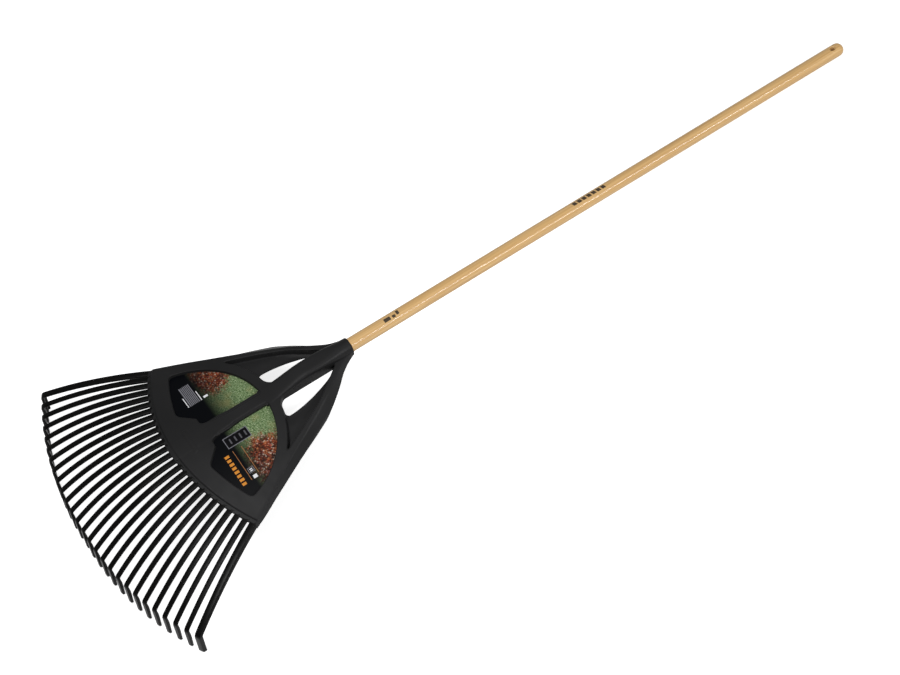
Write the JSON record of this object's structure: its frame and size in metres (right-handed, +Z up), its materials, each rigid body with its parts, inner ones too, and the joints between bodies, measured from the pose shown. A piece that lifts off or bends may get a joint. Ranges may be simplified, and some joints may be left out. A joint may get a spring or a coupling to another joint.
{
  "type": "leaf rake",
  "caption": "Lawn leaf rake with a long round wooden handle and a fan-shaped moulded plastic head of springy tines with hooked tips.",
  "frame": {"origin": "on the ground under the middle of the rake, halfway between the tines' reach and the end of the handle", "axes": "+Y along the rake towards the end of the handle, +X to the side, +Z up, with the rake lying on its tine tips and the end of its handle"},
  "size_m": [0.6302, 1.8098, 0.121],
  "materials": {
    "head_plastic": "fine matte moulded polypropylene",
    "tine_plastic": "slightly glossier moulded polypropylene",
    "varnished_wood": "pale straight-grained wood under clear satin varnish",
    "zinc_steel": "zinc plated",
    "printed_card": "coated printed card"
  },
  "bodies": {
    "head": {"rake_head": "head_plastic", "handle": "varnished_wood", "handle_screw": "zinc_steel", "label_card_left": "printed_card", "label_card_right": "printed_card"},
    "tine_01": {"tine_01": "tine_plastic"},
    "tine_02": {"tine_02": "tine_plastic"},
    "tine_03": {"tine_03": "tine_plastic"},
    "tine_04": {"tine_04": "tine_plastic"},
    "tine_05": {"tine_05": "tine_plastic"},
    "tine_06": {"tine_06": "tine_plastic"},
    "tine_07": {"tine_07": "tine_plastic"},
    "tine_08": {"tine_08": "tine_plastic"},
    "tine_09": {"tine_09": "tine_plastic"},
    "tine_10": {"tine_10": "tine_plastic"},
    "tine_11": {"tine_11": "tine_plastic"},
    "tine_12": {"tine_12": "tine_plastic"},
    "tine_13": {"tine_13": "tine_plastic"},
    "tine_14": {"tine_14": "tine_plastic"},
    "tine_15": {"tine_15": "tine_plastic"},
    "tine_16": {"tine_16": "tine_plastic"},
    "tine_17": {"tine_17": "tine_plastic"},
    "tine_18": {"tine_18": "tine_plastic"},
    "tine_19": {"tine_19": "tine_plastic"},
    "tine_20": {"tine_20": "tine_plastic"},
    "tine_21": {"tine_21": "tine_plastic"},
    "tine_22": {"tine_22": "tine_plastic"},
    "tine_23": {"tine_23": "tine_plastic"},
    "tine_24": {"tine_24": "tine_plastic"},
    "tine_25": {"tine_25": "tine_plastic"},
    "tine_26": {"tine_26": "tine_plastic"},
    "tine_27": {"tine_27": "tine_plastic"}
  },
  "joints": [
    {"name": "tine_01_flex", "type": "hinge", "parent": "head", "child": "tine_01", "pos_m": [-0.19914, -0.63814, 0.08443], "axis": [0.8623, -0.5052, 0.0334], "range_deg": [-12, 6], "stiffness_Nm_per_rad": 3.5},
    {"name": "tine_02_flex", "type": "hinge", "parent": "head", "child": "tine_02", "pos_m": [-0.18513, -0.64571, 0.08881], "axis": [0.8823, -0.4697, 0.031], "range_deg": [-12, 6], "stiffness_Nm_per_rad": 3.5},
    {"name": "tine_03_flex", "type": "hinge", "parent": "head", "child": "tine_03", "pos_m": [-0.17081, -0.65273, 0.09292], "axis": [0.9008, -0.4333, 0.0286], "range_deg": [-12, 6], "stiffness_Nm_per_rad": 3.5},
    {"name": "tine_04_flex", "type": "hinge", "parent": "head", "child": "tine_04", "pos_m": [-0.1562, -0.65917, 0.09676], "axis": [0.9178, -0.3963, 0.0262], "range_deg": [-12, 6], "stiffness_Nm_per_rad": 3.5},
    {"name": "tine_05_flex", "type": "hinge", "parent": "head", "child": "tine_05", "pos_m": [-0.14133, -0.66502, 0.10028], "axis": [0.9332, -0.3586, 0.0237], "range_deg": [-12, 6], "stiffness_Nm_per_rad": 3.5},
    {"name": "tine_06_flex", "type": "hinge", "parent": "head", "child": "tine_06", "pos_m": [-0.12623, -0.67029, 0.10348], "axis": [0.9471, -0.3202, 0.0212], "range_deg": [-12, 6], "stiffness_Nm_per_rad": 3.5},
    {"name": "tine_07_flex", "type": "hinge", "parent": "head", "child": "tine_07", "pos_m": [-0.11091, -0.67495, 0.10635], "axis": [0.9594, -0.2814, 0.0186], "range_deg": [-12, 6], "stiffness_Nm_per_rad": 3.5},
    {"name": "tine_08_flex", "type": "hinge", "parent": "head", "child": "tine_08", "pos_m": [-0.09541, -0.67901, 0.10886], "axis": [0.9701, -0.2421, 0.016], "range_deg": [-12, 6], "stiffness_Nm_per_rad": 3.5},
    {"name": "tine_09_flex", "type": "hinge", "parent": "head", "child": "tine_09", "pos_m": [-0.07976, -0.68245, 0.111], "axis": [0.9792, -0.2023, 0.0134], "range_deg": [-12, 6], "stiffness_Nm_per_rad": 3.5},
    {"name": "tine_10_flex", "type": "hinge", "parent": "head", "child": "tine_10", "pos_m": [-0.06396, -0.68528, 0.11277], "axis": [0.9867, -0.1623, 0.0107], "range_deg": [-12, 6], "stiffness_Nm_per_rad": 3.5},
    {"name": "tine_11_flex", "type": "hinge", "parent": "head", "child": "tine_11", "pos_m": [-0.04807, -0.68748, 0.11416], "axis": [0.9925, -0.1219, 0.0081], "range_deg": [-12, 6], "stiffness_Nm_per_rad": 3.5},
    {"name": "tine_12_flex", "type": "hinge", "parent": "head", "child": "tine_12", "pos_m": [-0.03209, -0.68905, 0.11515], "axis": [0.9967, -0.0814, 0.0054], "range_deg": [-12, 6], "stiffness_Nm_per_rad": 3.5},
    {"name": "tine_13_flex", "type": "hinge", "parent": "head", "child": "tine_13", "pos_m": [-0.01606, -0.69, 0.11575], "axis": [0.9992, -0.0407, 0.0027], "range_deg": [-12, 6], "stiffness_Nm_per_rad": 3.5},
    {"name": "tine_14_flex", "type": "hinge", "parent": "head", "child": "tine_14", "pos_m": [0, -0.69032, 0.11595], "axis": [1, 0, 0], "range_deg": [-12, 6], "stiffness_Nm_per_rad": 3.5},
    {"name": "tine_15_flex", "type": "hinge", "parent": "head", "child": "tine_15", "pos_m": [0.01606, -0.69, 0.11575], "axis": [0.9992, 0.0407, -0.0027], "range_deg": [-12, 6], "stiffness_Nm_per_rad": 3.5},
    {"name": "tine_16_flex", "type": "hinge", "parent": "head", "child": "tine_16", "pos_m": [0.03209, -0.68905, 0.11515], "axis": [0.9967, 0.0814, -0.0054], "range_deg": [-12, 6], "stiffness_Nm_per_rad": 3.5},
    {"name": "tine_17_flex", "type": "hinge", "parent": "head", "child": "tine_17", "pos_m": [0.04807, -0.68748, 0.11416], "axis": [0.9925, 0.1219, -0.0081], "range_deg": [-12, 6], "stiffness_Nm_per_rad": 3.5},
    {"name": "tine_18_flex", "type": "hinge", "parent": "head", "child": "tine_18", "pos_m": [0.06396, -0.68528, 0.11277], "axis": [0.9867, 0.1623, -0.0107], "range_deg": [-12, 6], "stiffness_Nm_per_rad": 3.5},
    {"name": "tine_19_flex", "type": "hinge", "parent": "head", "child": "tine_19", "pos_m": [0.07976, -0.68245, 0.111], "axis": [0.9792, 0.2023, -0.0134], "range_deg": [-12, 6], "stiffness_Nm_per_rad": 3.5},
    {"name": "tine_20_flex", "type": "hinge", "parent": "head", "child": "tine_20", "pos_m": [0.09541, -0.67901, 0.10886], "axis": [0.9701, 0.2421, -0.016], "range_deg": [-12, 6], "stiffness_Nm_per_rad": 3.5},
    {"name": "tine_21_flex", "type": "hinge", "parent": "head", "child": "tine_21", "pos_m": [0.11091, -0.67495, 0.10635], "axis": [0.9594, 0.2814, -0.0186], "range_deg": [-12, 6], "stiffness_Nm_per_rad": 3.5},
    {"name": "tine_22_flex", "type": "hinge", "parent": "head", "child": "tine_22", "pos_m": [0.12623, -0.67029, 0.10348], "axis": [0.9471, 0.3202, -0.0212], "range_deg": [-12, 6], "stiffness_Nm_per_rad": 3.5},
    {"name": "tine_23_flex", "type": "hinge", "parent": "head", "child": "tine_23", "pos_m": [0.14133, -0.66502, 0.10028], "axis": [0.9332, 0.3586, -0.0237], "range_deg": [-12, 6], "stiffness_Nm_per_rad": 3.5},
    {"name": "tine_24_flex", "type": "hinge", "parent": "head", "child": "tine_24", "pos_m": [0.1562, -0.65917, 0.09676], "axis": [0.9178, 0.3963, -0.0262], "range_deg": [-12, 6], "stiffness_Nm_per_rad": 3.5},
    {"name": "tine_25_flex", "type": "hinge", "parent": "head", "child": "tine_25", "pos_m": [0.17081, -0.65273, 0.09292], "axis": [0.9008, 0.4333, -0.0286], "range_deg": [-12, 6], "stiffness_Nm_per_rad": 3.5},
    {"name": "tine_26_flex", "type": "hinge", "parent": "head", "child": "tine_26", "pos_m": [0.18513, -0.64571, 0.08881], "axis": [0.8823, 0.4697, -0.031], "range_deg": [-12, 6], "stiffness_Nm_per_rad": 3.5},
    {"name": "tine_27_flex", "type": "hinge", "parent": "head", "child": "tine_27", "pos_m": [0.19914, -0.63814, 0.08443], "axis": [0.8623, 0.5052, -0.0334], "range_deg": [-12, 6], "stiffness_Nm_per_rad": 3.5}
  ]
}
